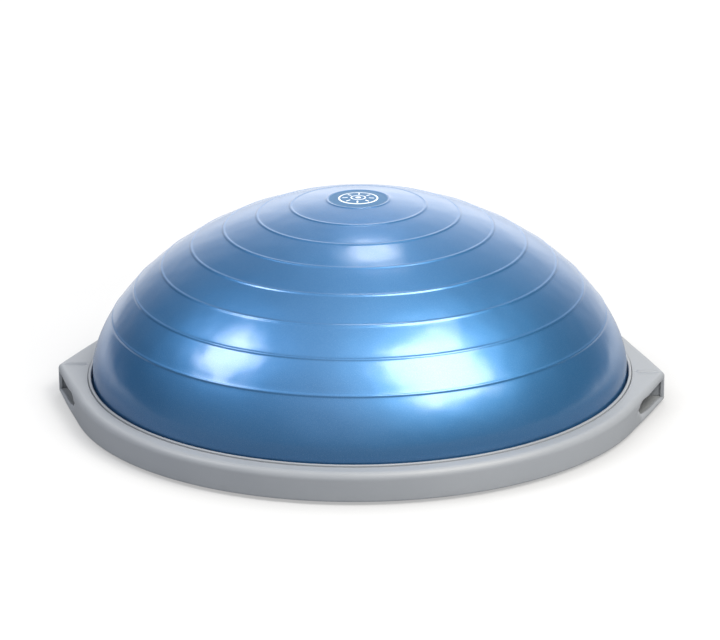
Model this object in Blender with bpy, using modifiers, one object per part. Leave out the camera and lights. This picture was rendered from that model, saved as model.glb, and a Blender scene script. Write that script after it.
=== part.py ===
"""Balance dome trainer: a half-ball bladder clamped into a rigid platform with two handle lugs.

Metres, +Z up, floor at z = 0, the dome's axis on the world Z axis, the two
lugs on +X and -X. Profiles and sections are loops of (radius, height).
"""

import math

import bmesh
import bpy
from mathutils import Matrix, Vector

# ---------------------------------------------------------------- dimensions
FIT_GAP = 0.0003  # gap left between neighbouring pieces

# platform plan: a circle with a tangent-sided lug on each side
SPAN_HALF = 0.3300  # centre to a lug's tip
RING_R = 0.3122  # outer wall, away from the lugs
TIP_ROUND = 0.0050  # plan rounding of a lug's tip
LUG_FULLNESS = 0.0007  # outward bow of a lug's straight sides
WALL = 0.0030  # moulded wall thickness

# platform heights
BASE_Z = 0.0035  # underside above the floor
PLATE_T = 0.0032
PLATE_TOP_Z = BASE_Z + PLATE_T
FLANGE_Z = 0.0343  # top of the flange
FLANGE_T = 0.0030
FLANGE_BOTTOM_Z = FLANGE_Z - FLANGE_T
FLANGE_IN_R = 0.2948

CLAMP_IN_R = 0.2912
CLAMP_OUT_R = 0.2944  # outer edge of the visible lip
CLAMP_FOOT_R = 0.2994  # outer edge of the hidden foot
CLAMP_TOP_Z = 0.0361
CLAMP_FOOT_TOP_Z = FLANGE_BOTTOM_Z - FIT_GAP
CLAMP_BOTTOM_Z = 0.0267

BEAD_BOTTOM_Z = 0.0231
MEMBRANE_TOP_Z = 0.0225
MEMBRANE_BOTTOM_Z = 0.0201

SEAT_IN_R = 0.2835  # bead seat of the base plate
SEAT_OUT_R = 0.2986
SEAT_TOP_Z = BEAD_BOTTOM_Z - FIT_GAP
RIB_TOP_Z = MEMBRANE_BOTTOM_Z - FIT_GAP

SCREW_CIRCLE_R = 0.3040
SCREW_DEG = (20.0, 48.0, 76.0)  # in one quadrant, mirrored to the others
SCREW_HEAD_R = 0.0037
SCREW_SHANK_R = 0.0017
SCREW_HEAD_TOP_Z = BASE_Z + 0.0015

FOOT_CIRCLE_R = 0.2680
FOOT_COUNT = 8
FOOT_R = 0.0160
FOOT_TOP_BEVEL_Z = 0.0012  # top of the bevel round a foot's lower edge
FOOT_BEVEL = 0.0012  # its width
FOOT_RECESS = 0.0012  # depth of a foot's recess in the base plate

VALVE_FLANGE_Z = 0.0081  # underside of the valve seat's outer flange

SHARP_DEG = 35.0  # edges steeper than this are shaded sharp
MERGE_DISTANCE = 0.00001

# ----------------------------------------------------------------- the stage
for item in list(bpy.data.objects):
    bpy.data.objects.remove(item, do_unlink=True)

parts = bpy.data.collections.new("balance_dome_trainer")
cutters = bpy.data.collections.new("cutters")
bpy.context.scene.collection.children.link(parts)
bpy.context.scene.collection.children.link(cutters)


def material(name, colour, roughness, metallic=0.0):
    made = bpy.data.materials.new(name)
    made.use_nodes = True
    shader = made.node_tree.nodes["Principled BSDF"]
    shader.inputs["Base Color"].default_value = (*colour, 1.0)
    shader.inputs["Roughness"].default_value = roughness
    shader.inputs["Metallic"].default_value = metallic
    made.diffuse_color = (*colour, 1.0)
    return made


BLUE_VINYL = material("blue_vinyl", colour=(0.13, 0.31, 0.60), roughness=0.32)
GREY_SHELL = material("grey_shell", colour=(0.40, 0.42, 0.44), roughness=0.50)
GREY_RING = material("grey_ring", colour=(0.42, 0.44, 0.46), roughness=0.45)
GREY_BASE = material("grey_base", colour=(0.30, 0.32, 0.34), roughness=0.55)
BLACK_RUBBER = material("black_rubber", colour=(0.03, 0.03, 0.032), roughness=0.80)
VALVE_RUBBER = material("valve_rubber", colour=(0.10, 0.11, 0.12), roughness=0.60)
PLUG_RUBBER = material("plug_rubber", colour=(0.16, 0.17, 0.18), roughness=0.55)
SCREW_STEEL = material(
    "screw_steel", colour=(0.55, 0.55, 0.56), roughness=0.35, metallic=1.0
)


# ------------------------------------------------------------- shared makers
def finish(bm, name, mat=None):
    """Turn a bmesh into an object; without a material it is a hidden boolean tool."""
    bmesh.ops.recalc_face_normals(bm, faces=bm.faces)
    mesh = bpy.data.meshes.new(name)
    bm.to_mesh(mesh)
    bm.free()
    made = bpy.data.objects.new(name, mesh)
    if mat is None:
        cutters.objects.link(made)
        made.hide_render = True
        made.display_type = "WIRE"
    else:
        parts.objects.link(made)
        mesh.materials.append(mat)
    for face in mesh.polygons:
        face.use_smooth = True
    mesh.set_sharp_from_angle(angle=math.radians(SHARP_DEG))
    return made


def boolean(target, tool, operation):
    step = target.modifiers.new(tool.name, "BOOLEAN")
    step.operation = operation
    step.solver = "EXACT"
    step.object = tool


def polar(radius, degrees):
    angle = math.radians(degrees)
    return radius * math.cos(angle), radius * math.sin(angle)


def loft_ring(name, section, angles, mat=None):
    """A closed ring lofted through section(angle), a loop of (radius, height)."""
    bm = bmesh.new()
    loops = [
        [
            bm.verts.new((r * math.cos(angle), r * math.sin(angle), z))
            for r, z in section(angle)
        ]
        for angle in angles
    ]
    for k, loop in enumerate(loops):
        other = loops[(k + 1) % len(loops)]
        for i in range(len(loop)):
            j = (i + 1) % len(loop)
            bm.faces.new((loop[i], other[i], other[j], loop[j]))
    return finish(bm, name, mat)


def turned(name, profile, mat, steps, place=(0.0, 0.0)):
    """A profile turned round the upright axis at a place in plan.

    A profile that starts and ends on the axis stays open; any other is closed.
    """
    edges = [(k, k + 1) for k in range(len(profile) - 1)]
    if profile[0][0] > 0.0:
        edges.append((len(profile) - 1, 0))
    mesh = bpy.data.meshes.new(name)
    mesh.from_pydata([(r, 0.0, z) for r, z in profile], edges, [])
    mesh.materials.append(mat)
    made = bpy.data.objects.new(name, mesh)
    parts.objects.link(made)
    made.location = (*place, 0.0)
    turn = made.modifiers.new("turn", "SCREW")
    turn.axis = "Z"
    turn.steps = steps
    turn.render_steps = steps
    turn.use_merge_vertices = True
    turn.merge_threshold = MERGE_DISTANCE
    turn.use_smooth_shade = True


def cylinders(name, places, radius, low, high, segments):
    """Upright closed cylinders at several places, as one boolean tool."""
    bm = bmesh.new()
    for x, y in places:
        bmesh.ops.create_cone(
            bm,
            cap_ends=True,
            segments=segments,
            radius1=radius,
            radius2=radius,
            depth=high - low,
            matrix=Matrix.Translation((x, y, (low + high) / 2)),
        )
    return finish(bm, name)


def box_between(bm, start, end, thickness, low, high):
    """A closed box standing on a line in plan."""
    start, end = Vector(start), Vector(end)
    along = end - start
    middle = (start + end) / 2
    turn = Matrix.Rotation(math.atan2(along.y, along.x), 4, "Z")
    place = Matrix.Translation((middle.x, middle.y, (low + high) / 2))
    size = Matrix.Diagonal((along.length, thickness, high - low, 1.0))
    bmesh.ops.create_cube(bm, size=1.0, matrix=place @ turn @ size)


# ---------------------------------------------------------- the platform plan
def sharp_tip():
    """Distance to the sharp corner that leaves the rounded tip on the span."""
    tip = SPAN_HALF
    for _ in range(20):
        lean = math.acos(RING_R / tip)
        tip = SPAN_HALF + TIP_ROUND * (1 / math.cos(lean) - 1)
    return tip


VIRTUAL_TIP = sharp_tip()
LEAN = math.acos(RING_R / VIRTUAL_TIP)  # where a lug's side leaves the circle
TIP_CENTRE = VIRTUAL_TIP - TIP_ROUND / math.cos(LEAN)


def ring_angles():
    """Angles round the platform, closer together on the lugs."""
    blend = math.degrees(LEAN)
    lug = [0.0, 0.5, 1.1] + [blend * k / 8 for k in range(1, 9)]
    quadrant = lug + [blend + (90.0 - blend) * k / 13 for k in range(1, 14)]
    half = quadrant + [180.0 - a for a in reversed(quadrant[:-1])]
    return [math.radians(a) for a in half + [360.0 - a for a in reversed(half[1:-1])]]


PLATFORM_ANGLES = ring_angles()


def outline(angle, inset=0.0):
    """Plan radius of the platform, or of a line inset from its wall."""
    a = abs(math.atan2(math.sin(angle), math.cos(angle)))
    a = min(a, math.pi - a)
    radius, rounding = RING_R - inset, TIP_ROUND - inset
    meet = math.atan2(
        rounding * math.sin(LEAN), TIP_CENTRE + rounding * math.cos(LEAN)
    )
    if a <= meet:
        across = TIP_CENTRE * math.sin(a)
        return TIP_CENTRE * math.cos(a) + math.sqrt(rounding**2 - across**2)
    if a <= LEAN:
        share = (a - meet) / (LEAN - meet)
        bow = LUG_FULLNESS * math.sin(math.pi * share) ** 2
        return radius / math.cos(LEAN - a) + bow
    return radius


screw_degrees = sorted(
    degrees
    for first in SCREW_DEG
    for degrees in (first, 180.0 - first, 180.0 + first, 360.0 - first)
)
screw_places = [polar(SCREW_CIRCLE_R, degrees) for degrees in screw_degrees]
foot_places = [
    polar(FOOT_CIRCLE_R, 360.0 * (k + 0.5) / FOOT_COUNT) for k in range(FOOT_COUNT)
]

# ------------------------------------------------------------- the rim shell
SHOULDER = (  # (inset from the wall, drop from the flange top), before scaling
    (0.0062, 0.0002),
    (0.0032, 0.0012),
    (0.0011, 0.0030),
    (0.0002, 0.0056),
)
SHOULDER_DROP = SHOULDER[-1][1]
TIP_SHOULDER = 0.60  # scale of the shoulder at a lug's tip
SHOULDER_RATE = 1.3  # how early that scale is reached on the way to the tip

BOSS_R = 0.0038
BOSS_TOP_Z = FLANGE_Z - 0.0015
PILOT_R = SCREW_SHANK_R + 0.0003
PILOT_TOP_Z = 0.0237
INSIDE_LOW_Z = PLATE_TOP_Z + FIT_GAP  # bottom of the bosses and webs

SLOT_START = 0.0036  # along the lug's side from its sharp corner
SLOT_END = 0.0800
SLOT_TOP = 0.0230  # above the underside
SLOT_DEPTHS = (-0.0090, 0.0100)  # reach of the cut inside and outside the wall
SLOT_SHAPE = (  # (distance along the lug's side, height above the underside)
    (SLOT_START, 0.0036),
    (0.0240, 0.0044),
    (0.0420, 0.0053),
    (0.0620, 0.0064),
    (SLOT_END - 0.0040, 0.0080),
    (SLOT_END - 0.0008, 0.0112),
    (SLOT_END, 0.0150),
    (SLOT_END - 0.0008, SLOT_TOP - 0.0036),
    (SLOT_END - 0.0040, SLOT_TOP - 0.0008),
    (SLOT_END - 0.0100, SLOT_TOP),
    (SLOT_START + 0.0016, SLOT_TOP),
    (SLOT_START, SLOT_TOP - 0.0012),
)

WEB_T = 0.0024
WEB_IN_R = CLAMP_FOOT_R + 0.0008
WEB_OUT_R = SPAN_HALF - 0.0012
WEB_TOP_Z = FLANGE_Z - 0.0024

RIDGE_HALF_W = 0.0013
RIDGE_BOTTOM_Z = FLANGE_Z - 0.0032
RIDGE_CREST = (  # (distance from the centre, height above the flange)
    (0.2995, 0.0005),
    (0.3050, 0.0007),
    (0.3150, 0.0006),
    (0.3235, -0.0006),
)


def shell_section(angle):
    out = outline(angle)
    inner = outline(angle, WALL)
    lug_share = (out - RING_R) / (SPAN_HALF - RING_R)  # 1 at a lug's tip
    tight = 1.0 - (1.0 - TIP_SHOULDER) * min(SHOULDER_RATE * lug_share, 1.0)
    return [
        (FLANGE_IN_R, FLANGE_Z - 0.0008),
        (FLANGE_IN_R + 0.0006, FLANGE_Z),
        (FLANGE_IN_R + 0.0050, FLANGE_Z),
        *((out - inset * tight, FLANGE_Z - drop * tight) for inset, drop in SHOULDER),
        (out, BASE_Z + 0.0010),
        (out - 0.0009, BASE_Z),
        (inner, BASE_Z),
        (inner, FLANGE_Z - SHOULDER_DROP),
        (inner - 0.0020, FLANGE_BOTTOM_Z - 0.0006),
        (FLANGE_IN_R + 0.0055, FLANGE_BOTTOM_Z),
        (FLANGE_IN_R, FLANGE_BOTTOM_Z),
    ]


def make_hand_slots():
    """One slot in each sloping side of each lug."""
    bm = bmesh.new()
    for side in (1.0, -1.0):
        for hand in (1.0, -1.0):
            rows = []
            for depth in SLOT_DEPTHS:
                row = []
                for along, height in SLOT_SHAPE:
                    x = VIRTUAL_TIP - along * math.sin(LEAN) + depth * math.cos(LEAN)
                    y = along * math.cos(LEAN) + depth * math.sin(LEAN)
                    row.append(bm.verts.new((side * x, hand * y, BASE_Z + height)))
                rows.append(row)
            inner, outer = rows
            bm.faces.new(inner)
            bm.faces.new(outer)
            for i in range(len(inner)):
                j = (i + 1) % len(inner)
                bm.faces.new((inner[i], inner[j], outer[j], outer[i]))
    return finish(bm, "hand_slots")


def make_lug_webs():
    """A web standing inside each tip, between the two slots."""
    bm = bmesh.new()
    for side in (1.0, -1.0):
        start, end = (side * WEB_IN_R, 0.0), (side * WEB_OUT_R, 0.0)
        box_between(bm, start, end, WEB_T, INSIDE_LOW_Z, WEB_TOP_Z)
    return finish(bm, "lug_webs")


def make_lug_ridges():
    """A low ridge of triangular section along the top of each lug."""
    bm = bmesh.new()
    for side in (1.0, -1.0):
        bottom = [
            [
                bm.verts.new((side * x, y, RIDGE_BOTTOM_Z))
                for y in (-RIDGE_HALF_W, RIDGE_HALF_W)
            ]
            for x, _ in RIDGE_CREST
        ]
        crest = [bm.verts.new((side * x, 0.0, FLANGE_Z + rise)) for x, rise in RIDGE_CREST]
        for k in range(len(crest) - 1):
            near, far = bottom[k], bottom[k + 1]
            bm.faces.new((near[0], far[0], far[1], near[1]))
            for i in (0, 1):
                bm.faces.new((near[i], far[i], crest[k + 1], crest[k]))
        for end in (0, -1):
            bm.faces.new((*bottom[end], crest[end]))
    return finish(bm, "lug_ridges")


def make_rim_shell():
    shell = loft_ring("rim_shell", shell_section, PLATFORM_ANGLES, GREY_SHELL)
    bosses = cylinders(
        "screw_bosses", screw_places, BOSS_R, INSIDE_LOW_Z, BOSS_TOP_Z, segments=16
    )
    boolean(shell, bosses, "UNION")
    pilots = cylinders(
        "screw_pilots", screw_places, PILOT_R, BASE_Z, PILOT_TOP_Z, segments=12
    )
    boolean(shell, pilots, "DIFFERENCE")
    boolean(shell, make_hand_slots(), "DIFFERENCE")
    boolean(shell, make_lug_webs(), "UNION")
    boolean(shell, make_lug_ridges(), "UNION")


# ------------------------------------------------------------ the base plate
PLATE_HOLE_R = 0.0185  # central hole
HUB_OUT_R = PLATE_HOLE_R + 0.0070  # raised hub round the hole
DISH_R = 0.0420  # shallow dish round the plug
DISH_DEPTH = 0.0022
GROOVE_R = (0.1180, 0.2060)  # shallow grooves round the underside
GROOVE_HALF_W = 0.0030
GROOVE_DEPTH = 0.0010
PLATE_EDGE_GAP = 0.0004  # to the inside of the rim shell's wall
PLATE_EDGE_BEVEL = 0.0006

RIB_T = 0.0030
RIB_COUNT = 12
RIB_RING_R = (0.0520, 0.1650)
RING_RIB_STEPS = 48
# how far the ribs sink into the plate and run past what they meet
RADIAL_RIB_SINK = 0.0010
RING_RIB_SINK = 0.0012
RIB_IN_R = RIB_RING_R[0] - 0.0010
RIB_OUT_R = SEAT_IN_R + 0.0015
RADIAL_RIB_DROP = 0.0002  # radial ribs stop this far below the ring ribs

HOLE_CLEARANCE = 0.0004  # radial, round a screw's shank and head
CUT_LOW_Z = 0.0015  # bottom of the cuts from below
PLATE_CUT_TOP_Z = 0.0095
FOOT_CLEARANCE = 0.0006


def plate_section(angle):
    edge = outline(angle, WALL + PLATE_EDGE_GAP)
    section = [
        (PLATE_HOLE_R, BASE_Z + DISH_DEPTH),
        (DISH_R - 0.0030, BASE_Z + DISH_DEPTH),
        (DISH_R, BASE_Z),
    ]
    for radius in GROOVE_R:
        section += [
            (radius - GROOVE_HALF_W, BASE_Z),
            (radius, BASE_Z + GROOVE_DEPTH),
            (radius + GROOVE_HALF_W, BASE_Z),
        ]
    return section + [
        (edge - PLATE_EDGE_BEVEL, BASE_Z),
        (edge, BASE_Z + PLATE_EDGE_BEVEL),
        (edge, PLATE_TOP_Z),
        (SEAT_OUT_R, PLATE_TOP_Z),
        (SEAT_OUT_R, SEAT_TOP_Z),
        (SEAT_IN_R + 0.0058, SEAT_TOP_Z),
        (SEAT_IN_R + 0.0038, RIB_TOP_Z),
        (SEAT_IN_R, RIB_TOP_Z),
        (SEAT_IN_R, PLATE_TOP_Z),
        (DISH_R + 0.0050, PLATE_TOP_Z),
        (DISH_R + 0.0020, PLATE_TOP_Z + DISH_DEPTH),
        (HUB_OUT_R, PLATE_TOP_Z + DISH_DEPTH),
        (HUB_OUT_R, RIB_TOP_Z),
        (PLATE_HOLE_R + 0.0030, RIB_TOP_Z),
        (PLATE_HOLE_R, RIB_TOP_Z - 0.0030),
    ]


def make_radial_ribs():
    bm = bmesh.new()
    for k in range(RIB_COUNT):
        degrees = 360.0 * k / RIB_COUNT
        box_between(
            bm,
            polar(RIB_IN_R, degrees),
            polar(RIB_OUT_R, degrees),
            RIB_T,
            PLATE_TOP_Z - RADIAL_RIB_SINK,
            RIB_TOP_Z - RADIAL_RIB_DROP,
        )
    return finish(bm, "radial_ribs")


def make_ring_rib(radius):
    low = PLATE_TOP_Z - RING_RIB_SINK
    section = [
        (radius - RIB_T / 2, low),
        (radius + RIB_T / 2, low),
        (radius + RIB_T / 2, RIB_TOP_Z),
        (radius - RIB_T / 2, RIB_TOP_Z),
    ]
    angles = [2 * math.pi * (k + 0.5) / RING_RIB_STEPS for k in range(RING_RIB_STEPS)]
    return loft_ring("ring_rib_%d" % round(radius * 1000), lambda _: section, angles)


def make_base_plate():
    plate = loft_ring("base_plate", plate_section, PLATFORM_ANGLES, GREY_BASE)
    boolean(plate, make_radial_ribs(), "UNION")
    for radius in RIB_RING_R:
        boolean(plate, make_ring_rib(radius), "UNION")

    shank_r = SCREW_SHANK_R + HOLE_CLEARANCE
    head_r = SCREW_HEAD_R + HOLE_CLEARANCE
    head_top = SCREW_HEAD_TOP_Z + FIT_GAP
    foot_r = FOOT_R + FOOT_CLEARANCE
    foot_top = BASE_Z + FOOT_RECESS
    for name, places, radius, high, segments in (
        ("plate_holes", screw_places, shank_r, PLATE_CUT_TOP_Z, 12),
        ("head_pockets", screw_places, head_r, head_top, 16),
        ("foot_recesses", foot_places, foot_r, foot_top, 20),
    ):
        tool = cylinders(name, places, radius, CUT_LOW_Z, high, segments)
        boolean(plate, tool, "DIFFERENCE")


# ------------------------------------------------------------ the clamp ring
ROUND_STEPS = 64  # for the clamp ring and the bladder
CLAMP_BEVEL = 0.0008


def make_clamp_ring():
    profile = [
        (CLAMP_OUT_R - CLAMP_BEVEL, CLAMP_TOP_Z),
        (CLAMP_OUT_R, CLAMP_TOP_Z - 0.0010),
        (CLAMP_OUT_R, CLAMP_FOOT_TOP_Z),
        (CLAMP_FOOT_R, CLAMP_FOOT_TOP_Z),
        (CLAMP_FOOT_R, CLAMP_BOTTOM_Z),
        (CLAMP_IN_R, CLAMP_BOTTOM_Z),
        (CLAMP_IN_R, CLAMP_TOP_Z - CLAMP_BEVEL),
        (CLAMP_IN_R + CLAMP_BEVEL, CLAMP_TOP_Z),
    ]
    turned("clamp_ring", profile, GREY_RING, steps=ROUND_STEPS)


# ---------------------------------------------------------- the dome bladder
DOME_R = 0.2904  # foot radius of the superellipse, before the tuck
DOME_NECK_R = 0.2894  # where it goes down inside the clamp ring
DOME_FOOT_Z = 0.0366
DOME_H = 0.1912  # rise above the foot
DOME_P = 1.849  # superellipse exponents: radius, then height
DOME_Q = 1.741
TUCK_H = 0.024  # height over which the dome draws in to the neck
BLADDER_T = 0.0030

GRIP_RING_R = (0.0334, 0.0726, 0.1087, 0.1447, 0.1798, 0.2123, 0.2418, 0.2668)
GRIP_RING_HALF_W = 0.0024
GRIP_RING_RISE = 0.0008
FLANK_SHARES = (0.70, 0.40, 0.22, 0.10, 0.0)  # heights from last grip ring to foot
INSIDE_SHARES = (0.965, 0.90, 0.80, 0.66, 0.50, 0.33, 0.16)  # of DOME_R

BEAD_R = 0.2978
BEAD_TOP_Z = 0.0264
BEAD_BEVEL_W = 0.0006
BEAD_BEVEL_H = 0.0008
MEMBRANE_HOLE_R = 0.0125


def dome_height(radius):
    share = 1.0 - (radius / DOME_R) ** DOME_P
    return DOME_FOOT_Z + DOME_H * share ** (1.0 / DOME_Q)


def dome_normal(radius):
    step = 0.0002  # half the span of the slope's finite difference
    slope = (dome_height(radius + step) - dome_height(radius - step)) / (2 * step)
    length = math.hypot(slope, 1.0)
    return -slope / length, 1.0 / length


def foot_tuck(z):
    """How far the lowest part of the dome draws in towards the neck."""
    t = min((z - DOME_FOOT_Z) / TUCK_H, 1.0)
    return (DOME_R - DOME_NECK_R) * (1.0 - t * t * (3.0 - 2.0 * t))


def dome_outside():
    """The outline from the crown down to the foot, with the raised grip rings."""
    found = [(0.0, dome_height(0.0))]
    for k, radius in enumerate(GRIP_RING_R):
        if k > 0:
            middle = (GRIP_RING_R[k - 1] + radius) / 2
            found.append((middle, dome_height(middle)))
        normal_r, normal_z = dome_normal(radius)
        for offset, rise in (
            (-GRIP_RING_HALF_W, 0.0),
            (0.0, GRIP_RING_RISE),
            (GRIP_RING_HALF_W, 0.0),
        ):
            r = radius + offset * normal_z
            found.append((r + rise * normal_r, dome_height(r) + rise * normal_z))
    flank_h = dome_height(GRIP_RING_R[-1] + GRIP_RING_HALF_W) - DOME_FOOT_Z
    for share in FLANK_SHARES:
        height = flank_h * share
        widest = DOME_R * (1.0 - (height / DOME_H) ** DOME_Q) ** (1.0 / DOME_P)
        z = DOME_FOOT_Z + height
        found.append((widest - foot_tuck(z), z))
    return found


def dome_inside():
    """The inner outline from the foot up to the crown."""
    found = [(DOME_NECK_R - BLADDER_T, DOME_FOOT_Z)]
    for share in INSIDE_SHARES:
        r = DOME_R * share
        normal_r, normal_z = dome_normal(r)
        found.append(
            (r - BLADDER_T * normal_r, dome_height(r) - BLADDER_T * normal_z)
        )
    found.append((0.0, dome_height(0.0) - BLADDER_T))
    return found


def make_dome_bladder():
    neck_and_membrane = [
        (DOME_NECK_R, DOME_FOOT_Z - 0.0026),
        (DOME_NECK_R, BEAD_TOP_Z),
        (BEAD_R - BEAD_BEVEL_W, BEAD_TOP_Z),
        (BEAD_R, BEAD_TOP_Z - BEAD_BEVEL_H),
        (BEAD_R, BEAD_BOTTOM_Z + BEAD_BEVEL_H),
        (BEAD_R - BEAD_BEVEL_W, BEAD_BOTTOM_Z),
        (SEAT_IN_R + 0.0050, BEAD_BOTTOM_Z),
        (SEAT_IN_R + 0.0030, MEMBRANE_BOTTOM_Z),
        (MEMBRANE_HOLE_R, MEMBRANE_BOTTOM_Z),
        (MEMBRANE_HOLE_R, MEMBRANE_TOP_Z),
        (SEAT_IN_R - 0.0010, MEMBRANE_TOP_Z),
        (DOME_NECK_R - BLADDER_T, BEAD_TOP_Z),
    ]
    profile = dome_outside() + neck_and_membrane + dome_inside()
    turned("dome_bladder", profile, BLUE_VINYL, steps=ROUND_STEPS)


# ------------------------------------------------------------ valve and plug
VALVE_STEPS = 24
VALVE_BORE_R = 0.0073
VALVE_BARREL_R = 0.0121
VALVE_TOP_FLANGE_R = 0.0200
VALVE_LOW_FLANGE_R = 0.0160
VALVE_TOP_Z = 0.0249

PLUG_HEAD_TOP_Z = VALVE_FLANGE_Z - FIT_GAP
PLUG_HEAD_BOTTOM_Z = VALVE_FLANGE_Z - 0.0024
PLUG_PROFILE = (  # a stem with three rings, then a wide head at the bottom
    (0.0, 0.0257), (0.0042, 0.0257), (0.0060, 0.0243),
    (0.0060, 0.0211), (0.0070, 0.0203), (0.0060, 0.0191),
    (0.0060, 0.0165), (0.0070, 0.0157), (0.0060, 0.0145),
    (0.0060, 0.0119), (0.0070, 0.0111), (0.0062, 0.0095),
    (0.0062, PLUG_HEAD_TOP_Z),
    (0.0140, PLUG_HEAD_TOP_Z),
    (0.0148, VALVE_FLANGE_Z - 0.0012),
    (0.0140, PLUG_HEAD_BOTTOM_Z),
    (0.0, PLUG_HEAD_BOTTOM_Z),
)

TAB_HALF_L = 0.0085
TAB_T = 0.0028
TAB_LOW_Z = VALVE_FLANGE_Z - 0.0060
TAB_HIGH_Z = VALVE_FLANGE_Z - 0.0018


def make_valve_seat():
    top_flange_low = MEMBRANE_TOP_Z + FIT_GAP
    profile = [
        (VALVE_TOP_FLANGE_R, 0.0237),
        (VALVE_TOP_FLANGE_R, top_flange_low),
        (VALVE_BARREL_R, top_flange_low),
        (VALVE_BARREL_R, 0.0105),
        (VALVE_LOW_FLANGE_R, 0.0101),
        (VALVE_LOW_FLANGE_R, VALVE_FLANGE_Z),
        (VALVE_BORE_R + 0.0008, VALVE_FLANGE_Z),
        (VALVE_BORE_R, VALVE_FLANGE_Z + 0.0010),
        (VALVE_BORE_R, VALVE_TOP_Z),
        (0.0100, VALVE_TOP_Z),
    ]
    turned("valve_seat", profile, VALVE_RUBBER, steps=VALVE_STEPS)


def make_pull_tab():
    """A flat soft-edged bar across the underside of the plug's head."""
    bm = bmesh.new()
    box_between(bm, (-TAB_HALF_L, 0.0), (TAB_HALF_L, 0.0), TAB_T, TAB_LOW_Z, TAB_HIGH_Z)
    tab = finish(bm, "pull_tab")
    soft = tab.modifiers.new("soft", "BEVEL")
    soft.width = 0.0009
    soft.segments = 2
    return tab


def make_air_plug():
    bm = bmesh.new()
    rings = []
    for r, z in PLUG_PROFILE:
        count = VALVE_STEPS if r > 0.0 else 1  # a single point on the axis
        places = [polar(r, 360.0 * k / VALVE_STEPS) for k in range(count)]
        rings.append([bm.verts.new((x, y, z)) for x, y in places])
    for upper, lower in zip(rings, rings[1:]):
        for k in range(VALVE_STEPS):
            j = (k + 1) % VALVE_STEPS
            if len(upper) == 1:
                bm.faces.new((upper[0], lower[k], lower[j]))
            elif len(lower) == 1:
                bm.faces.new((upper[k], upper[j], lower[0]))
            else:
                bm.faces.new((upper[k], upper[j], lower[j], lower[k]))
    plug = finish(bm, "air_plug", PLUG_RUBBER)
    boolean(plug, make_pull_tab(), "UNION")


# --------------------------------------------------------- feet and screws
SCREW_TIP_Z = 0.0215
SCREW_TAPER_Z = 0.0197  # where the shank starts to narrow to its tip
SCREW_BEVEL = 0.0009  # of the tip and of the head's lower edge
SCREW_HEAD_LOW_Z = BASE_Z + 0.0002


def make_feet():
    top = BASE_Z + FOOT_RECESS - FIT_GAP
    profile = [
        (0.0, top),
        (FOOT_R, top),
        (FOOT_R, FOOT_TOP_BEVEL_Z),
        (FOOT_R - FOOT_BEVEL, 0.0),
        (0.0, 0.0),
    ]
    for k, place in enumerate(foot_places):
        turned("foot_%d" % (k + 1), profile, BLACK_RUBBER, steps=20, place=place)


def make_screws():
    profile = [
        (0.0, SCREW_TIP_Z),
        (SCREW_SHANK_R - SCREW_BEVEL, SCREW_TIP_Z),
        (SCREW_SHANK_R, SCREW_TAPER_Z),
        (SCREW_SHANK_R, SCREW_HEAD_TOP_Z),
        (SCREW_HEAD_R, SCREW_HEAD_TOP_Z),
        (SCREW_HEAD_R, BASE_Z + 0.0008),
        (SCREW_HEAD_R - SCREW_BEVEL, SCREW_HEAD_LOW_Z),
        (0.0, SCREW_HEAD_LOW_Z),
    ]
    for k, place in enumerate(screw_places):
        turned("screw_%d" % (k + 1), profile, SCREW_STEEL, steps=12, place=place)


make_rim_shell()
make_base_plate()
make_clamp_ring()
make_dome_bladder()
make_valve_seat()
make_air_plug()
make_feet()
make_screws()
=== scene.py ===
"""Balance dome trainer: the looks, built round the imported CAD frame.

A blue air-filled dome stands on a round grey platform, centred on the Z axis with +Z up.
The platform has a pointed lug at each end of X, with a hand slot along both sides of each lug.
The camera looks from -Y. Lengths are in metres.
"""

import math

import bmesh
import bpy
import numpy as np
from mathutils import Matrix, Vector


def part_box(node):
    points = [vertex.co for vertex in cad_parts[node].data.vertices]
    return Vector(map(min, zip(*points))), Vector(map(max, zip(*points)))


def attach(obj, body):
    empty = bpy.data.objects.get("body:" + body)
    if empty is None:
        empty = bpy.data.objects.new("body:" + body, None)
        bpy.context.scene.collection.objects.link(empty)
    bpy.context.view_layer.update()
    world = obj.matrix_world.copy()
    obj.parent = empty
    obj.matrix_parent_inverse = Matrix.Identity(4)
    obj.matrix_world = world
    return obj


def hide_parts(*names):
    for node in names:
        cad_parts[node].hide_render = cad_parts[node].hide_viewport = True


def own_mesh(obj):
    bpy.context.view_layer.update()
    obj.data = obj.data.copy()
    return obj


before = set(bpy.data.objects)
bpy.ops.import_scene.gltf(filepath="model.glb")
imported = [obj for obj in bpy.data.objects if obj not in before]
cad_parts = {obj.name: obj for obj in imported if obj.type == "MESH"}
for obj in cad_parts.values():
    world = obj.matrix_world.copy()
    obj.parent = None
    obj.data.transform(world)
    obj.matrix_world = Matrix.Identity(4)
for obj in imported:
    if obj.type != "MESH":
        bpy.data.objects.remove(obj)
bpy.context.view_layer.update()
scene = bpy.context.scene

# ------------------------------------------------------------------ helpers


def ease(value, start=0.0, length=1.0):
    """0 up to start, 1 from start + length on, smooth between. Takes arrays too."""
    share = np.clip((value - start) / length, 0.0, 1.0)
    return share * share * (3.0 - 2.0 * share)


def shade_smooth(mesh, sharp):
    """Smooth shading, broken at edges steeper than sharp degrees."""
    for face in mesh.polygons:
        face.use_smooth = True
    mesh.set_sharp_from_angle(angle=math.radians(sharp))


def add_mesh(name, verts, faces, mat, sharp):
    mesh = bpy.data.meshes.new(name)
    mesh.from_pydata(verts, [], faces)
    mesh.validate()
    made = bpy.data.objects.new(name, mesh)
    scene.collection.objects.link(made)
    bm = bmesh.new()
    bm.from_mesh(mesh)
    bmesh.ops.recalc_face_normals(bm, faces=bm.faces)
    bm.to_mesh(mesh)
    bm.free()
    mesh.materials.append(mat)
    shade_smooth(mesh, sharp)
    return made


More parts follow.
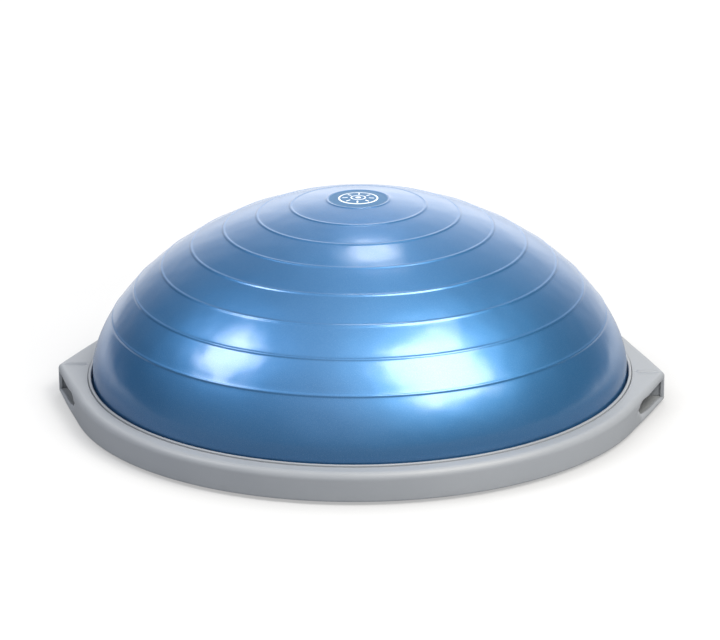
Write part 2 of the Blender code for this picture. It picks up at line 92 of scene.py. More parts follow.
def lathe(name, profile, steps, mat, closed, sharp):
    """Turn a profile of (radius, z). Points at radius 0 become a single vertex."""
    verts, rings = [], []
    angles = [2 * math.pi * k / steps for k in range(steps)]
    for radius, z in profile:
        if radius <= 1e-9:
            rings.append([len(verts)])
            verts.append((0.0, 0.0, z))
        else:
            rings.append(list(range(len(verts), len(verts) + steps)))
            verts += [(radius * math.cos(a), radius * math.sin(a), z) for a in angles]
    pairs = list(zip(rings, rings[1:]))
    if closed:
        pairs.append((rings[-1], rings[0]))
    faces = []
    for one, two in pairs:
        for k in range(steps):
            j = (k + 1) % steps
            if len(one) == 1:
                faces.append((one[0], two[j], two[k]))
            elif len(two) == 1:
                faces.append((one[k], one[j], two[0]))
            else:
                faces.append((one[k], one[j], two[j], two[k]))
    return add_mesh(name, verts, faces, mat, sharp)


class Nodes:
    """Shorthand for building the node tree of a material or world.

    Wherever a value is taken, a socket is linked and anything else is set.
    """

    def __init__(self, owner):
        owner.use_nodes = True
        self.owner = owner
        self.tree = owner.node_tree

    def put(self, socket, value):
        if isinstance(value, bpy.types.NodeSocket):
            self.tree.links.new(value, socket)
        elif socket.type == "RGBA":
            socket.default_value = (*value, 1.0)
        else:
            socket.default_value = value

    def fill(self, node, inputs):
        for key, value in inputs.items():
            self.put(node.inputs[key], value)

    def new(self, kind, inputs=None, **settings):
        node = self.tree.nodes.new(kind)
        for key, value in settings.items():
            setattr(node, key, value)
        self.fill(node, inputs or {})
        return node

    def principled(self, inputs):
        self.fill(self.tree.nodes["Principled BSDF"], inputs)

    def math(self, operation, *values):
        inputs = dict(enumerate(values))
        return self.new("ShaderNodeMath", inputs, operation=operation).outputs[0]

    def mix(self, factor, one, two):
        inputs = {0: factor, 6: one, 7: two}
        return self.new("ShaderNodeMix", inputs, data_type="RGBA").outputs[2]

    def mix_shader(self, factor, one, two):
        return self.new("ShaderNodeMixShader", {0: factor, 1: one, 2: two}).outputs[0]

    def coords(self):
        return self.new("ShaderNodeTexCoord").outputs["Object"]

    def split(self, vector):
        return self.new("ShaderNodeSeparateXYZ", {0: vector}).outputs

    def noise(self, vector, scale, detail, rough):
        inputs = {"Scale": scale, "Detail": detail, "Roughness": rough, "Vector": vector}
        return self.new("ShaderNodeTexNoise", inputs).outputs["Fac"]

    def ramp(self, value, span, to=(0.0, 1.0), kind="LINEAR"):
        """Map value from the span to the two ends in to, clamped."""
        inputs = {
            "From Min": span[0], "From Max": span[1],
            "To Min": to[0], "To Max": to[1], "Value": value,
        }
        return self.new("ShaderNodeMapRange", inputs, interpolation_type=kind).outputs[0]

    def bump(self, height, strength, distance, under=None):
        """A bump, laid over the normal under when one is given."""
        inputs = {"Strength": strength, "Distance": distance, "Height": height}
        if under is not None:
            inputs["Normal"] = under
        return self.new("ShaderNodeBump", inputs).outputs[0]


def new_look(name):
    return Nodes(bpy.data.materials.new(name))


# ---------------------------------------------------------------- materials


def dimmed(colour, share):
    return tuple(share * part for part in colour)


def moulded_plastic(name, colour, dark, rough, grain=0.10, grain_scale=1600.0, wear=0.25):
    look = new_look(name)
    where = look.coords()
    cloud = look.noise(where, scale=9.0, detail=4.0, rough=0.55)
    fine = look.noise(where, scale=130.0, detail=3.0, rough=0.6)
    speck = look.noise(where, scale=grain_scale, detail=2.0, rough=0.6)
    fine_tone, fine_height, scuff_rough = 0.18, 0.6, 0.2  # shares of each effect
    tone = look.mix(look.ramp(cloud, span=(0.3, 0.7)), dark, colour)
    mottle = look.math("MULTIPLY", look.ramp(fine, span=(0.35, 0.8)), fine_tone)
    tone = look.mix(mottle, tone, dark)

    # scuffs low on the part, where it meets the floor
    z = look.split(where)[2]
    low = look.ramp(z, span=(0.003, 0.012), to=(1.0, 0.0))
    patches = look.noise(where, scale=60.0, detail=5.0, rough=0.7)
    scuff = look.math("MULTIPLY", low, look.ramp(patches, span=(0.45, 0.75)))
    scuff = look.math("MULTIPLY", scuff, wear)
    tone = look.mix(scuff, tone, dimmed(dark, 0.55))

    # painted shade: creases, hollows and the gaps between parts are darkened towards a
    # near-black grey where little light gets in, less so on the top faces
    hollow_shade_ao = look.new(
        "ShaderNodeAmbientOcclusion", {"Distance": 0.022}, samples=8, only_local=True
    )
    unshaded_share = look.math(
        "MAXIMUM",
        look.ramp(hollow_shade_ao.outputs["AO"], span=(0.16, 0.66)),
        look.ramp(z, span=(0.0300, 0.0325), to=(0.0, 0.70)),
    )
    tone = look.mix(unshaded_share, dimmed(dark, 0.13), tone)

    cloud_rough = look.ramp(cloud, span=(0.2, 0.8), to=(rough - 0.05, rough + 0.06))
    height = look.math("ADD", speck, look.math("MULTIPLY", fine, fine_height))
    look.principled({
        "Base Color": tone,
        "Roughness": look.math("ADD", cloud_rough, look.math("MULTIPLY", scuff, scuff_rough)),
        "Normal": look.bump(height, strength=grain, distance=0.0004),
        "IOR": 1.48,
    })
    return look.owner


def rubber(name, colour, rough):
    look = new_look(name)
    where = look.coords()
    cloud = look.noise(where, scale=40.0, detail=4.0, rough=0.6)
    speck = look.noise(where, scale=900.0, detail=2.0, rough=0.6)
    light = tuple(part * 1.7 + 0.01 for part in colour)
    look.principled({
        "Base Color": look.mix(look.ramp(cloud, span=(0.35, 0.8)), colour, light),
        "Roughness": look.ramp(cloud, span=(0.2, 0.8), to=(rough - 0.08, rough + 0.08)),
        "Normal": look.bump(speck, strength=0.25, distance=0.0005),
    })
    return look.owner


def steel(name):
    """Metal with fine lines running round Z."""
    look = new_look(name)
    where = look.coords()
    streak = look.new("ShaderNodeMapping", {"Scale": (1.0, 1.0, 30.0), "Vector": where})
    lines = look.noise(streak.outputs[0], scale=300.0, detail=2.0, rough=0.5)
    dark, light = (0.42, 0.42, 0.43), (0.66, 0.66, 0.67)
    look.principled({
        "Base Color": look.mix(look.ramp(lines, span=(0.3, 0.7)), dark, light),
        "Metallic": 1.0,
        "Roughness": look.ramp(lines, span=(0.3, 0.7), to=(0.28, 0.45)),
        "Normal": look.bump(lines, strength=0.15, distance=0.0003),
    })
    return look.owner


VINYL_DEEP = (0.029, 0.141, 0.335)
VINYL_LIGHT = (0.035, 0.156, 0.355)
VINYL_FLAKE = (0.35, 0.55, 0.80)
VINYL_EDGE = (0.30, 0.50, 0.80)  # specular tint
VINYL_METAL = 0.75
VINYL_ROUGH = 0.44
VINYL_COAT = 1.0
COAT_ROUGH = 0.17
# the disc printed on the crown
DISC_R = 0.0316
DISC_SOFT = 0.0003
DISC_BLUE = (0.045, 0.130, 0.260)
DISC_METAL = 0.20
DISC_COAT = 0.25
# the centre mark on the disc: (middle radius, half width) of its ring, dot and inner ring
MARK_BANDS = ((0.0205, 0.00085), (0.0, 0.0030), (0.0076, 0.0006))
TICK_BAND = (0.0142, 0.0028)
TICKS = 8
TICK_EDGE = (0.0006, 0.0010)  # a tick fades out over this distance from its axis
MARK_SOFT = 0.00022
MARK_WHITE = (0.86, 0.90, 0.94)


def centre_mark(look, x, y, radius):
    """Rings, a dot and short ticks between them."""

    def band(centre, half):
        away = look.math("ABSOLUTE", look.math("SUBTRACT", radius, centre))
        return look.ramp(away, span=(half - MARK_SOFT, half + MARK_SOFT), to=(1.0, 0.0))

    mark = band(*MARK_BANDS[0])
    for centre, half in MARK_BANDS[1:]:
        mark = look.math("MAXIMUM", mark, band(centre, half))
    turn = look.math("ARCTAN2", y, x)
    off_turn = look.math("PINGPONG", look.math("ADD", turn, math.pi), math.pi / TICKS)
    off_axis = look.math("MULTIPLY", off_turn, radius)
    tick = look.ramp(off_axis, span=TICK_EDGE, to=(1.0, 0.0))
    tick = look.math("MULTIPLY", tick, band(*TICK_BAND))
    return look.math("MAXIMUM", mark, tick)


def pearl_vinyl(name):
    """Blue pearl vinyl under a clear skin, with a plain centre mark printed on the crown."""
    look = new_look(name)
    where = look.coords()
    x, y, z = look.split(where)
    square = look.math("ADD", look.math("MULTIPLY", x, x), look.math("MULTIPLY", y, y))
    radius = look.math("SQRT", square)
    cloud = look.noise(where, scale=5.0, detail=3.0, rough=0.5)
    mid = look.noise(where, scale=45.0, detail=4.0, rough=0.55)
    flake = look.noise(where, scale=2600.0, detail=1.0, rough=0.5)
    flake_tone, disc_rough, disc_coat_rough, mid_height = 0.20, 0.18, 0.25, 0.05  # shares
    tone = look.mix(look.ramp(cloud, span=(0.3, 0.7)), VINYL_DEEP, VINYL_LIGHT)
    glint = look.math("MULTIPLY", look.ramp(flake, span=(0.5, 0.8)), flake_tone)
    tone = look.mix(glint, tone, VINYL_FLAKE)

    # crown disc: flatter, denser ink
    on_crown = look.ramp(z, span=(0.100, 0.110))  # below the crown even when the dome is pressed
    inside = look.ramp(radius, span=(DISC_R - DISC_SOFT, DISC_R + DISC_SOFT), to=(1.0, 0.0))
    disc = look.math("MULTIPLY", on_crown, inside)
    tone = look.mix(disc, tone, DISC_BLUE)
    mark = look.math("MULTIPLY", centre_mark(look, x, y, radius), on_crown)
    tone = look.mix(mark, tone, MARK_WHITE)

    plain = look.math("SUBTRACT", 1.0, disc)
    rough = look.ramp(cloud, span=(0.3, 0.7), to=(VINYL_ROUGH - 0.02, VINYL_ROUGH + 0.03))
    coat_rough = look.ramp(mid, span=(0.3, 0.7), to=(COAT_ROUGH, COAT_ROUGH + 0.05))

    # slow waves in the clear skin, with a fine grain beneath
    wave = look.noise(where, scale=14.0, detail=2.0, rough=0.5)
    height = look.math(
        "ADD", look.math("MULTIPLY", wave, 1.0), look.math("MULTIPLY", mid, mid_height)
    )
    coat_normal = look.bump(height, strength=0.36, distance=0.0045)
    grain = look.noise(where, scale=1400.0, detail=2.0, rough=0.6)
    look.principled({
        "Base Color": tone,
        "Metallic": look.ramp(plain, span=(0.0, 1.0), to=(DISC_METAL, VINYL_METAL)),
        "Roughness": look.math("ADD", rough, look.math("MULTIPLY", disc, disc_rough)),
        "Coat Weight": look.ramp(plain, span=(0.0, 1.0), to=(DISC_COAT, VINYL_COAT)),
        "Coat Roughness": look.math(
            "ADD", coat_rough, look.math("MULTIPLY", disc, disc_coat_rough)
        ),
        "Coat IOR": 1.55,
        "Specular Tint": VINYL_EDGE,
        "Coat Normal": coat_normal,
        "Normal": look.bump(grain, strength=0.10, distance=0.0003, under=coat_normal),
    })
    return look.owner


blue_vinyl = pearl_vinyl("blue_pearl_vinyl")
shell_grey = moulded_plastic(
    "shell_grey", colour=(0.243, 0.262, 0.292), dark=(0.226, 0.245, 0.275), rough=0.46
)
ring_grey = moulded_plastic(
    "ring_grey", colour=(0.250, 0.268, 0.296), dark=(0.234, 0.252, 0.279), rough=0.42
)
# the base plate is a darker grey than the shell: partly its own colour, partly painted shade for
# where it shows inside the hand slots
base_grey = moulded_plastic(
    "base_grey", colour=(0.200, 0.213, 0.228), dark=(0.180, 0.193, 0.207), rough=0.55,
    grain=0.18, grain_scale=1100.0, wear=0.16,
)
foot_rubber = rubber("foot_rubber", colour=(0.022, 0.022, 0.024), rough=0.78)
valve_rubber = rubber("valve_rubber_look", colour=(0.060, 0.064, 0.070), rough=0.62)
plug_rubber = rubber("plug_rubber_look", colour=(0.095, 0.100, 0.108), rough=0.55)
screw_steel = steel("screw_steel_look")

# --------------------------------------------------------- platform numbers
SPAN_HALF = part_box("rim_shell")[1].x  # middle to lug tip
RING_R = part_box("rim_shell")[1].y
TIP_ROUND = 0.0050
LUG_FULLNESS = 0.0007  # how far a lug's side bows outwards
TIP_SHOULDER = 0.60  # how much of the shoulder's size is left at a tip
PLATE_T = 0.0032
WALL = 0.0030
BASE_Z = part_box("rim_shell")[0].z
FLANGE_Z = 0.0343
FLANGE_T = 0.0030
FLANGE_UNDER_Z = FLANGE_Z - FLANGE_T
FLANGE_IN_R = 0.2948
CLAMP_IN_R = 0.2912
CLAMP_OUT_R = 0.2944
CLAMP_FOOT_R = 0.2994
CLAMP_ROUND = 0.0013  # height of the clamp ring's rounded top
CLAMP_GAP = 0.0003  # between the clamp ring's foot and the flange
CLAMP_TOP_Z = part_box("clamp_ring")[1].z
CLAMP_BOTTOM_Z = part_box("clamp_ring")[0].z

# A lug's sides are tangents of the ring that would meet at the virtual tip; LEAN is the angle
# at which they leave the ring.
VIRTUAL_TIP = SPAN_HALF
for _ in range(20):
    lean = math.acos(RING_R / VIRTUAL_TIP)
    VIRTUAL_TIP = SPAN_HALF + TIP_ROUND * (1 / math.cos(lean) - 1)
LEAN = math.acos(RING_R / VIRTUAL_TIP)
TIP_CENTRE = VIRTUAL_TIP - TIP_ROUND / math.cos(LEAN)
FACE_LENGTH = math.sqrt(VIRTUAL_TIP**2 - RING_R**2)


def from_tip(angle):
    """The angle away from the nearer tip, 0 to a quarter turn."""
    turn = abs(math.atan2(math.sin(angle), math.cos(angle)))
    return min(turn, math.pi - turn)


def outline(angle, inset=0.0):
    """Radius of the platform's edge at an angle."""
    turn = from_tip(angle)
    radius, rounding = RING_R - inset, max(TIP_ROUND - inset, 0.0004)
    meet = math.atan2(rounding * math.sin(LEAN), TIP_CENTRE + rounding * math.cos(LEAN))
    if turn <= meet:
        across = TIP_CENTRE * math.sin(turn)
        return TIP_CENTRE * math.cos(turn) + math.sqrt(max(rounding**2 - across**2, 0.0))
    if turn <= LEAN:
        share = (turn - meet) / (LEAN - meet)
        bow = LUG_FULLNESS * math.sin(math.pi * share) ** 2
        return radius / math.cos(LEAN - turn) + bow
    return radius


def along_face(angle):
    """How far along a lug's side a column is, from the virtual tip."""
    turn = from_tip(angle)
    if turn >= LEAN:
        return FACE_LENGTH + (turn - LEAN) * RING_R
    return RING_R / math.cos(LEAN - turn) * math.sin(turn) / math.cos(LEAN)


def angle_at(along):
    return math.atan2(along * math.cos(LEAN), VIRTUAL_TIP - along * math.sin(LEAN))


# ------------------------------------------- hand slots, by distance along a lug's side
SLOT_A, SLOT_B = 0.0034, 0.0800  # tip end and inner end
SLOT_TOP = 0.0230  # above BASE_Z
SLOT_END_ROUND = 0.0090
SLOT_END_SHARE = 0.34  # share of the slot's height left at its inner end
SILL_LEAN = 0.0019
SCOOP = 0.0028
SLOT_LIP = 0.0007


def slot_edges(along):
    """Heights of the slot's top and bottom edges; the inner end is rounded."""
    share = min(max((along - SLOT_A) / (SLOT_B - SLOT_A), 0.0), 1.0)
    low = 0.0036 + 0.0034 * share + 0.0014 * share**6  # rises, and faster at the inner end
    end = min(max((along - (SLOT_B - SLOT_END_ROUND)) / SLOT_END_ROUND, 0.0), 1.0)
    rounded = SLOT_END_SHARE + (1 - SLOT_END_SHARE) * math.sqrt(max(1.0 - end * end, 0.0))
    middle = BASE_Z + (low + SLOT_TOP) / 2
    half = (SLOT_TOP - low) / 2 * rounded
    return middle + half, middle - half


def sill_depth(along):
    """How far the wall below the slot leans in at the slot's lower edge."""
    share = (along - SLOT_A) / (SLOT_B - SLOT_A)
    return SILL_LEAN * ease(share, -0.02, 0.15) * (1.0 - ease(share, 0.80, 0.30))


def end_scoop(along):
    """How far the wall is scooped in round the slot's inner end."""
    return SCOOP * ease(along, SLOT_B - 0.0200, 0.0200) * (1.0 - ease(along, SLOT_B, 0.0170))


def slot_shifts(along):
    """How far each slot row is set in, from the top edge down."""
    beyond = ease(along, SLOT_B, 0.0060)
    lip = SLOT_LIP * ease(along, 0.002, 0.01) * (1 - ease(along, 0.070, 0.012))
    shifts = []
    for k in range(SLOT_ROWS + 1):
        share = k / SLOT_ROWS
        hollow = 1.0 - beyond * 0.75 * (1.0 - math.sin(math.pi * share))
        shifts.append(lip * (1 - share) + sill_depth(along) * share + end_scoop(along) * hollow)
    return shifts


# ---------------------------------------------------------------- rim shell
TOP_ROWS = 12
ROWS_ABOVE, SLOT_ROWS, ROWS_BELOW = 4, 8, 6  # wall rows above, over and below the slot
# (out from the flange's inner radius, up from the flange's top)
INNER_LIP = ((0.0, -0.0010), (0.0001, -0.0005), (0.0004, -0.0001), (0.0009, 0.0))
# (in from the outline, down from the flange's top)
SHOULDER = (
    (0.0062, 0.0002), (0.0050, 0.0005), (0.0039, 0.0010), (0.0029, 0.0017),
    (0.0020, 0.0026), (0.0012, 0.0037), (0.0006, 0.0049), (0.0002, 0.0060),
)
# (in from the outline, up from the base)
FOOT_EDGE = ((0.0, 0.0014), (0.0001, 0.0007), (0.0004, 0.0002), (0.0009, 0.0))
SILL_POWER = 1.7  # how quickly the wall below the slot straightens

# rows of a section at the slot's edges; the inner opening is one row below the outer one
OUTER_TOP = len(INNER_LIP) + (TOP_ROWS - 1) + len(SHOULDER) + (ROWS_ABOVE - 1)
OUTER_LOW = OUTER_TOP + SLOT_ROWS
INNER_LOW = OUTER_LOW + (ROWS_BELOW - 1) + len(FOOT_EDGE) + 2 + (ROWS_BELOW - 1)
INNER_TOP = INNER_LOW + SLOT_ROWS

# columns of a quadrant, by distance along the lug's side
TIP_STATIONS = [
    0.0, 0.0003, 0.0006, 0.0009, 0.0012, 0.0015, 0.0018, 0.0022, 0.0026, 0.0030, SLOT_A,
]
SLOT_COLUMNS, INNER_COLUMNS, BODY_COLUMNS = 52, 18, 48
SLOT_FIRST = len(TIP_STATIONS) - 1
SLOT_LAST = SLOT_FIRST + SLOT_COLUMNS
RIM_SHARP = 42.0


def quadrant_angles():
    stations = TIP_STATIONS + [
        SLOT_A + (SLOT_B - SLOT_A) * (1 - (1 - k / SLOT_COLUMNS) ** 1.45)
        for k in range(1, SLOT_COLUMNS + 1)
    ]
    stations += [
        SLOT_B + (FACE_LENGTH - SLOT_B) * (k / INNER_COLUMNS) ** 1.25
        for k in range(1, INNER_COLUMNS + 1)
    ]
    body = [
        LEAN + (math.pi / 2 - LEAN) * k / BODY_COLUMNS for k in range(1, BODY_COLUMNS + 1)
    ]
    return [angle_at(along) for along in stations] + body


def lug_rib(radius, side):
    """Height of the narrow rib along a lug's middle, with a groove beside it."""
    length = ease(radius, 0.2985, 0.0025) * (1 - ease(radius, 0.3185, 0.0060))
    rib = 0.0016 * math.exp(-((side / 0.0011) ** 2))
    groove = 0.0006 * math.exp(-(((side - 0.0028) / 0.0012) ** 2))
    return (rib - groove) * length


def top_points(angle, out, share, tight):
    """(radius, z) from the flange's inner lip to the bottom of the shoulder."""
    points = [(FLANGE_IN_R + away, FLANGE_Z + lift) for away, lift in INNER_LIP]
    start = points[-1][0]
    shoulder = [(out - back * tight, FLANGE_Z - drop * tight) for back, drop in SHOULDER]
    edge_r, edge_z = shoulder[0]
    for k in range(1, TOP_ROWS):
        radius = start + (edge_r - start) * k / TOP_ROWS
        z = FLANGE_Z + (edge_z - FLANGE_Z) * ease(k / TOP_ROWS)
        if share > 0.4:
            z += lug_rib(radius, radius * abs(math.sin(angle)))
        points.append((radius, z))
    return points + shoulder


def rim_section(angle):
    """(radius, z) round the shell: from the inner lip out and down, then back up inside."""
    out = outline(angle)
    inner = outline(angle, WALL)
    along = along_face(angle)
    share = max((out - RING_R) / (SPAN_HALF - RING_R), 0.0)  # 0 on the ring, 1 at a tip
    tight = 1.0 - (1.0 - TIP_SHOULDER) * min(1.3 * share, 1.0)
    points = top_points(angle, out, share, tight)

    z_top, z_low = slot_edges(min(along, SLOT_B))
    if along > SLOT_B:  # relax the rows back to even spacing beyond the slot
        back = ease(along, SLOT_B, 0.026)
        z_top += (BASE_Z + 0.0195 - z_top) * back
        z_low += (BASE_Z + 0.0085 - z_low) * back
    lip_z = points[-1][1]
    scoop = end_scoop(along) * (1.0 - 0.75 * ease(along, SLOT_B, 0.0060))
    for k in range(1, ROWS_ABOVE):
        part = k / ROWS_ABOVE
        points.append((out - scoop * part**2, lip_z + (z_top - lip_z) * part))

    # rows shared by both skins: (how far in, z)
    shifts = slot_shifts(along)
    slot = [
        (shift, z_top + (z_low - z_top) * k / SLOT_ROWS) for k, shift in enumerate(shifts)
    ]
    foot_z = BASE_Z + FOOT_EDGE[0][1]
    below = []
    for k in range(1, ROWS_BELOW):
        part = k / ROWS_BELOW
        below.append((shifts[-1] * (1.0 - part) ** SILL_POWER, z_low + (foot_z - z_low) * part))

    points += [(out - shift, z) for shift, z in slot + below]
    points += [(out - back, BASE_Z + lift) for back, lift in FOOT_EDGE]
    points += [(inner + 0.0004, BASE_Z), (inner, BASE_Z + 0.0006)]
    points += [(inner - shift, z) for shift, z in reversed(slot + below)]
    points += [
        (inner - 0.0008, FLANGE_UNDER_Z - 0.0024),
        (inner - 0.0028, FLANGE_UNDER_Z - 0.0005),
        (FLANGE_IN_R + INNER_LIP[-1][0] + 0.0050, FLANGE_UNDER_Z),
        (FLANGE_IN_R, FLANGE_UNDER_Z),
    ]
    return points


# the web inside each tip: (x, half thickness)
WEB_STATIONS = (
    (CLAMP_FOOT_R + 0.0008, 0.0014), (0.3080, 0.0012),
    (0.3200, 0.0012), (SPAN_HALF - 0.0016, 0.0014),
)
WEB_Z = (BASE_Z + PLATE_T + 0.0003, FLANGE_Z - 0.0024)
# faces from one station to the next, as offsets into their four vertices each
WEB_SIDES = ((0, 4, 6, 2), (1, 3, 7, 5), (0, 1, 5, 4), (2, 6, 7, 3))


def add_webs(verts, faces):
    """A web stands inside each tip, between the two slots."""
    for side in (1.0, -1.0):
        first = len(verts)
        for x, half in WEB_STATIONS:
            verts += [(side * x, y, z) for z in WEB_Z for y in (-half, half)]
        last = len(verts) - 4
        for base in range(first, last, 4):
            faces += [tuple(base + corner for corner in quad) for quad in WEB_SIDES]
        faces.append((first, first + 2, first + 3, first + 1))
        faces.append((last, last + 1, last + 3, last + 2))


def soften_edges(mesh, wanted):
    """Bevel the edges whose vertex pairs are wanted."""
    bm = bmesh.new()
    bm.from_mesh(mesh)
    edges = [e for e in bm.edges if frozenset(v.index for v in e.verts) in wanted]
    bmesh.ops.bevel(
        bm, geom=edges, offset=0.0007, segments=2, affect="EDGES", clamp_overlap=True
    )
    bmesh.ops.recalc_face_normals(bm, faces=bm.faces)
    bm.to_mesh(mesh)
    bm.free()


def build_rim():
    quadrant = quadrant_angles()
    half = quadrant + [math.pi - angle for angle in reversed(quadrant[:-1])]
    angles = half + [2 * math.pi - angle for angle in reversed(half[1:-1])]
    sections = [rim_section(angle) for angle in angles]
    rows, total = len(sections[0]), len(angles)

    quarter = len(quadrant) - 1
    slots = []  # column ranges of the four openings
    for base, sign in ((0, 1), (2 * quarter, -1), (2 * quarter, 1), (4 * quarter, -1)):
        slots.append(sorted((base + sign * SLOT_FIRST, base + sign * SLOT_LAST)))

    def vertex(i, j):
        return (i % total) * rows + (j % rows)

    verts = []
    for angle, points in zip(angles, sections):
        verts += [(r * math.cos(angle), r * math.sin(angle), z) for r, z in points]

    faces = []
    for i in range(total):
        in_slot = any(start <= i < end for start, end in slots)
        for j in range(rows):
            if in_slot and (OUTER_TOP <= j < OUTER_LOW or INNER_LOW <= j < INNER_TOP):
                continue
            faces.append(
                (vertex(i, j), vertex(i + 1, j), vertex(i + 1, j + 1), vertex(i, j + 1))
            )
    for start, end in slots:  # close the thickness of the wall round each opening
        for i in range(start, end):
            for outer, inner in ((OUTER_TOP, INNER_TOP), (OUTER_LOW, INNER_LOW)):
                faces.append((
                    vertex(i, outer), vertex(i + 1, outer),
                    vertex(i + 1, inner), vertex(i, inner),
                ))
        for i in (start, end):
            for k in range(SLOT_ROWS):
                outer, inner = OUTER_TOP + k, INNER_TOP - k
                faces.append((
                    vertex(i, outer), vertex(i, outer + 1),
                    vertex(i, inner - 1), vertex(i, inner),
                ))
    add_webs(verts, faces)
    made = add_mesh("rim_shell_look", verts, faces, shell_grey, RIM_SHARP)

    # the outer top and bottom edges of every slot
    wanted = {
        frozenset((vertex(i, row), vertex(i + 1, row)))
        for start, end in slots
        for row in (OUTER_TOP, OUTER_LOW)
        for i in range(start, end)
    }
    soften_edges(made.data, wanted)
    shade_smooth(made.data, RIM_SHARP)
    return made


rim = build_rim()
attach(rim, "platform")
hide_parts("rim_shell")

# --------------------------------------------------------------- clamp ring
CLAMP_ARC_STEPS = 12
CLAMP_SQUARENESS = 0.75  # below 1 the rounded top is squarer than an ellipse


def build_clamp_ring():
    shoulder_z = CLAMP_TOP_Z - CLAMP_ROUND
    foot_z = FLANGE_UNDER_Z - CLAMP_GAP
    half = (CLAMP_OUT_R - CLAMP_IN_R) / 2
    profile = [(CLAMP_IN_R, CLAMP_BOTTOM_Z), (CLAMP_IN_R, shoulder_z)]
    for k in range(1, CLAMP_ARC_STEPS):
        angle = math.pi * (1 - k / CLAMP_ARC_STEPS)
        across = math.cos(angle)
        bulge = math.copysign(abs(across) ** CLAMP_SQUARENESS, across)
        lift = CLAMP_ROUND * math.sin(angle) ** CLAMP_SQUARENESS
        profile.append((CLAMP_IN_R + half + half * bulge, shoulder_z + lift))
    profile += [
        (CLAMP_OUT_R, shoulder_z),
        (CLAMP_OUT_R, foot_z),
        (CLAMP_FOOT_R, foot_z),
        (CLAMP_FOOT_R, CLAMP_BOTTOM_Z),
    ]
    return lathe("clamp_ring_look", profile, steps=288, mat=ring_grey, closed=True, sharp=40.0)


ring = build_clamp_ring()
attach(ring, "platform")
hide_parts("clamp_ring")

# --------------------------------------------------------------------- dome
DOME_R = 0.2904
DOME_NECK_R = 0.2891
DOME_FOOT_Z = 0.0366
DOME_H = 0.1912
DOME_P = 1.849  # superellipse powers, across and up
DOME_Q = 1.741
BLADDER_T = 0.0030
INNER_DOME_R = DOME_R - 0.0016
BEAD_R = 0.2978
BEAD_TOP_Z = 0.0264
BEAD_BOTTOM_Z = 0.0231
BLADDER_FLOOR_Z = (0.0201, 0.0225)  # underside and top
FLOOR_HOLE_R = 0.0125
GRIP_RING_R = (0.0334, 0.0726, 0.1087, 0.1447, 0.1798, 0.2123, 0.2418, 0.2668)
RIDGE_HALF = 0.0025
RIDGE_RISE = 0.00055
TUCK_H = 0.018  # height over which the foot tucks in
DISC_SINK, DISC_EDGE_R, DISC_EDGE_W = 0.00025, 0.0305, 0.0012
INNER_SHARES = (0.985, 0.96, 0.92, 0.86, 0.78, 0.68, 0.56, 0.43, 0.29, 0.15)


def dome_curve(count=4000):
    """Radius, height and length along the plain dome, from the crown to the foot."""
    turn = np.linspace(0.0, math.pi / 2, count)[::-1]
    radius = DOME_R * np.cos(turn) ** (2 / DOME_P)
    z = DOME_FOOT_Z + DOME_H * np.sin(turn) ** (2 / DOME_Q)
    radius[0] = 0.0
    length = np.concatenate([[0.0], np.cumsum(np.hypot(np.diff(radius), np.diff(z)))])
    return radius, z, length


def dome_outside(curve_r, curve_z, length):
    """(radius, z) over the dome, with its grip rings, sunken disc and tucked foot."""
    marks = np.interp(GRIP_RING_R, curve_r, length)
    places = set(np.round(np.linspace(0.0, length[-1], 96), 6))
    for mark in marks:
        places = {place for place in places if abs(place - mark) > RIDGE_HALF * 1.15}
        places |= set(np.round(mark + np.linspace(-RIDGE_HALF, RIDGE_HALF, 15), 6))
    places = np.array(sorted(places))
    radius = np.interp(places, length, curve_r)
    z = np.interp(places, length, curve_z)
    along_r, along_z = np.gradient(radius, places), np.gradient(z, places)
    size = np.hypot(along_r, along_z)
    normal_r, normal_z = -along_z / size, along_r / size
    normal_r[0], normal_z[0] = 0.0, 1.0
    rise = np.zeros_like(places)
    for mark in marks:
        away = np.clip(np.abs(places - mark) / RIDGE_HALF, 0, 1)
        rise += RIDGE_RISE * 0.5 * (1 + np.cos(np.pi * away))
    # the printed disc sits a hair below the ring round it
    rise -= DISC_SINK * (1 - ease(radius, DISC_EDGE_R, DISC_EDGE_W))
    # the foot tucks in towards the clamp ring
    tuck = (DOME_R - DOME_NECK_R) * (1 - ease(z, DOME_FOOT_Z, TUCK_H))
    out_r, out_z = radius + normal_r * rise - tuck, z + normal_z * rise
    return list(zip(out_r.tolist(), out_z.tolist()))


def dome_inside(curve_r, curve_z):
    """(radius, z) of the inner skin, from the foot up to the crown."""
    points = [(DOME_NECK_R - BLADDER_T, DOME_FOOT_Z)]
    step = 0.0005
    for share in INNER_SHARES:
        radius = INNER_DOME_R * share
        before, z, after = np.interp((radius - step, radius, radius + step), curve_r, curve_z)
        slope = (after - before) / (2 * step)
        size = math.hypot(slope, 1.0)
        points.append((radius + BLADDER_T * slope / size, z - BLADDER_T / size))
    points.append((0.0, curve_z[0] - BLADDER_T))
    return points


def build_dome():
    curve_r, curve_z, length = dome_curve()
    under_z, floor_z = BLADDER_FLOOR_Z
    neck_bead_floor = [
        (DOME_NECK_R, DOME_FOOT_Z - 0.0030),
        (DOME_NECK_R, BEAD_TOP_Z + 0.0006),
        (DOME_NECK_R + 0.0004, BEAD_TOP_Z),
        (BEAD_R - 0.0008, BEAD_TOP_Z),
        (BEAD_R, BEAD_TOP_Z - 0.0010),
        (BEAD_R, BEAD_BOTTOM_Z + 0.0010),
        (BEAD_R - 0.0008, BEAD_BOTTOM_Z),
        (0.2885, BEAD_BOTTOM_Z),
        (0.2865, under_z),
        (FLOOR_HOLE_R, under_z),
        (FLOOR_HOLE_R, floor_z),
        (0.2825, floor_z),
        (DOME_NECK_R - BLADDER_T, BEAD_TOP_Z),
    ]
    profile = dome_outside(curve_r, curve_z, length) + neck_bead_floor
    profile += dome_inside(curve_r, curve_z)
    return lathe(
        "dome_bladder_look", profile, steps=320, mat=blue_vinyl, closed=False, sharp=60.0
    )


dome = build_dome()
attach(dome, "platform")
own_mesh(dome)
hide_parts("dome_bladder")

# ------------------------------------------------------- carried-over nodes


